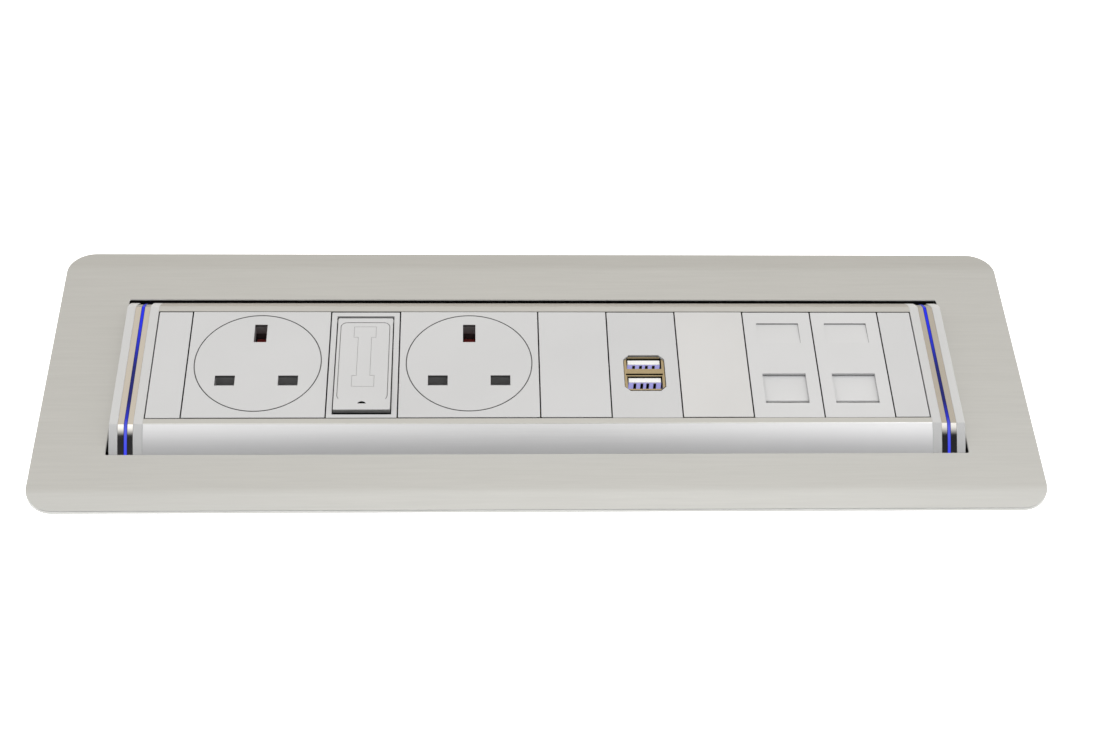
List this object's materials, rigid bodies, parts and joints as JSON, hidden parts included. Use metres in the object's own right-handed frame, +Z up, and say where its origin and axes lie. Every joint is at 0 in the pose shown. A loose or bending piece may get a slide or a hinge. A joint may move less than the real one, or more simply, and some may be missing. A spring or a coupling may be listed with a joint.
{
  "type": "in-desk power module",
  "caption": "Long aluminium bezel set in a desk top, holding a power bar with shuttered three-pin sockets, a hinged fuse carrier, USB and data outlets, and lit end caps.",
  "frame": {"origin": "middle of the bar's length and width, in the plane of the underside of the bezel's rim, which is the desk surface", "axes": "+X along the bar to the data end, +Y away from the user, +Z up out of the desk"},
  "size_m": [0.35, 0.1202, 0.0547],
  "materials": {
    "bezel_aluminium": "fine brushed satin",
    "black_steel": "satin black powder coat",
    "blue_light": "diffused light strip",
    "brass_strip": "pressed strip",
    "channel_aluminium": "satin anodised",
    "cheek_grey": "fine matt moulded",
    "chrome_band": "polished",
    "circuit_board": "green laminate",
    "contact_gold": "plated",
    "cover_grey": "moulded",
    "dark_plastic": "moulded",
    "driver_case": "moulded",
    "facia_grey": "fine matt moulded",
    "fuse_ceramic": "white ceramic with plated caps",
    "grommet_rubber": "moulded",
    "jack_plastic": "moulded",
    "red_plastic": "moulded",
    "shutter_grey": "moulded",
    "spring_steel": "wire",
    "usb_metal": "plated shell",
    "usb_white": "moulded",
    "zinc_steel": "bright zinc plate"
  },
  "bodies": {
    "module": {"bar_screws": "zinc_steel", "bezel": "bezel_aluminium", "blank_centre": "facia_grey", "blank_end_left": "facia_grey", "blank_end_right": "facia_grey", "blank_right": "facia_grey", "cable_grommets": "grommet_rubber", "cheek_screws": "zinc_steel", "chrome_trim_left": "chrome_band", "chrome_trim_right": "chrome_band", "clamp_bracket_left": "black_steel", "clamp_bracket_right": "black_steel", "clamp_nuts": "zinc_steel", "data_facia_1": "facia_grey", "data_facia_2": "facia_grey", "data_jack_1": "jack_plastic", "data_jack_2": "jack_plastic", "earth_bar": "brass_strip", "earth_contacts": "brass_strip", "fuse_clips": "brass_strip", "fuse_holder": "facia_grey", "housing_extrusion": "channel_aluminium", "inner_cheek_left": "cheek_grey", "inner_cheek_right": "cheek_grey", "jack_contacts": "contact_gold", "led_driver": "driver_case", "light_boards": "circuit_board", "light_guide_left": "blue_light", "light_guide_right": "blue_light", "live_bar": "brass_strip", "live_contacts": "brass_strip", "live_feed_bar": "brass_strip", "mains_inlet": "dark_plastic", "mounting_sleeve": "black_steel", "neutral_bar": "brass_strip", "neutral_contacts": "brass_strip", "outer_cheek_left": "cheek_grey", "outer_cheek_right": "cheek_grey", "shutter_spring_1": "spring_steel", "shutter_spring_2": "spring_steel", "sleeve_nuts": "zinc_steel", "socket_base_1": "dark_plastic", "socket_base_2": "dark_plastic", "socket_cover_1": "cover_grey", "socket_cover_2": "cover_grey", "socket_facia_1": "facia_grey", "socket_facia_2": "facia_grey", "usb_board": "circuit_board", "usb_contacts": "contact_gold", "usb_facia": "facia_grey", "usb_shell": "usb_metal", "usb_tongues": "usb_white"},
    "fuse_carrier": {"fuse_carrier": "facia_grey", "fuse": "fuse_ceramic"},
    "socket_shutter_1": {"socket_shutter_1": "shutter_grey", "earth_ramp_1": "red_plastic"},
    "socket_shutter_2": {"socket_shutter_2": "shutter_grey", "earth_ramp_2": "red_plastic"},
    "data_shutter_1": {"data_shutter_1": "facia_grey"},
    "data_shutter_2": {"data_shutter_2": "facia_grey"}
  },
  "joints": [
    {"name": "fuse_carrier_hinge", "type": "hinge", "parent": "module", "child": "fuse_carrier", "pos_m": [-0.0625, 0.0209, 0.0063], "axis": [-1, 0, 0], "range_deg": [0, 50]},
    {"name": "socket_shutter_1_slide", "type": "slide", "parent": "module", "child": "socket_shutter_1", "axis": [0, -1, 0], "range_m": [0, 0.0083], "stiffness_N_per_m": 60, "deforming": ["shutter_spring_1"]},
    {"name": "socket_shutter_2_slide", "type": "slide", "parent": "module", "child": "socket_shutter_2", "axis": [0, -1, 0], "range_m": [0, 0.0083], "stiffness_N_per_m": 60, "deforming": ["shutter_spring_2"]},
    {"name": "data_shutter_1_slide", "type": "slide", "parent": "module", "child": "data_shutter_1", "axis": [0, 1, 0], "range_m": [0, 0.0122]},
    {"name": "data_shutter_2_slide", "type": "slide", "parent": "module", "child": "data_shutter_2", "axis": [0, 1, 0], "range_m": [0, 0.0122]}
  ]
}
